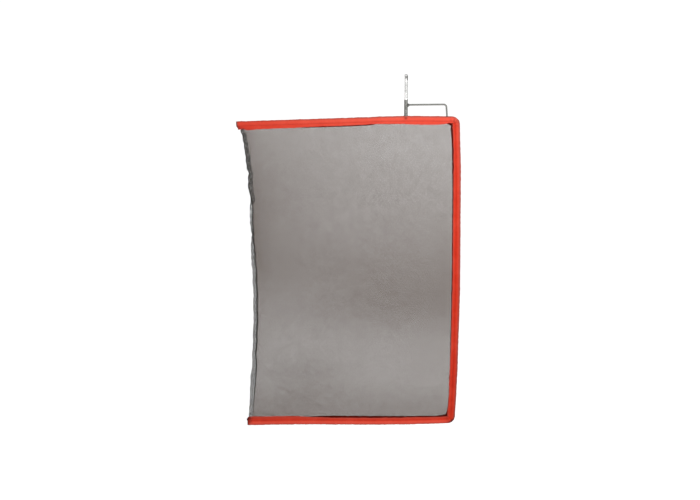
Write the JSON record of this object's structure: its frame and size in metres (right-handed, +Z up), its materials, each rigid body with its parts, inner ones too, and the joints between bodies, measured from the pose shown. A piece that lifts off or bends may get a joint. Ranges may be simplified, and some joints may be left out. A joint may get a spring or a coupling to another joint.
{
  "type": "open-end lighting scrim",
  "caption": "Upright lighting scrim: U-shaped steel rod frame, open on one side, holding a double black net in red sewn binding, with a braced mounting pin on top.",
  "frame": {"origin": "on the axis of the mounting pin, halfway along its bare straight grip length", "axes": "+Z up along the pin, away from the net; +X towards the closed side of the frame, so the open side is on -X; the net lies in the XZ plane and its front faces -Y"},
  "size_m": [0.6166, 0.0126, 1.0342],
  "materials": {
    "frame_steel": "grey enamel over bent steel rod, satin, brush marks and small chips",
    "pin_plating": "bright plated 3/8 inch steel, fine turning marks and clamp scuffs; the lower third is grey and mottled from welding",
    "brace_steel": "grey enamel, satin, thin and slightly uneven",
    "weld_bead": "rippled weld bead under grey enamel, matt",
    "tip_cap": "soft black vinyl, matt",
    "binding_red": "plain-woven cotton twill tape, orange-red, slightly faded on the folds, matt with a soft sheen",
    "edge_tape": "black woven cotton tape, matt",
    "net_black": "black knitted bobbinet, open mesh about half see-through, slightly shiny yarn",
    "hem_net": "black net turned twice into a narrow hem, denser and darker than the field",
    "thread_red": "red polyester sewing thread",
    "thread_black": "black polyester sewing thread"
  },
  "bodies": {
    "root": {"frame_rod": "frame_steel", "mounting_pin": "pin_plating", "brace_rod": "brace_steel", "weld_pin_to_arm": "weld_bead", "weld_brace_to_arm": "weld_bead", "weld_brace_to_pin": "weld_bead", "rod_tip_cap_upper": "tip_cap", "rod_tip_cap_lower": "tip_cap", "binding_upper": "binding_red", "binding_side": "binding_red", "binding_lower": "binding_red", "edge_tape_upper": "edge_tape", "edge_tape_side": "edge_tape", "edge_tape_lower": "edge_tape", "net_front": "net_black", "net_back": "net_black", "open_edge_hem": "hem_net", "stitching_upper": "thread_red", "stitching_side": "thread_red", "stitching_lower": "thread_red", "hem_stitching": "thread_black", "arm_end_tacks": "thread_red", "corner_seams": "thread_red"}
  },
  "joints": []
}
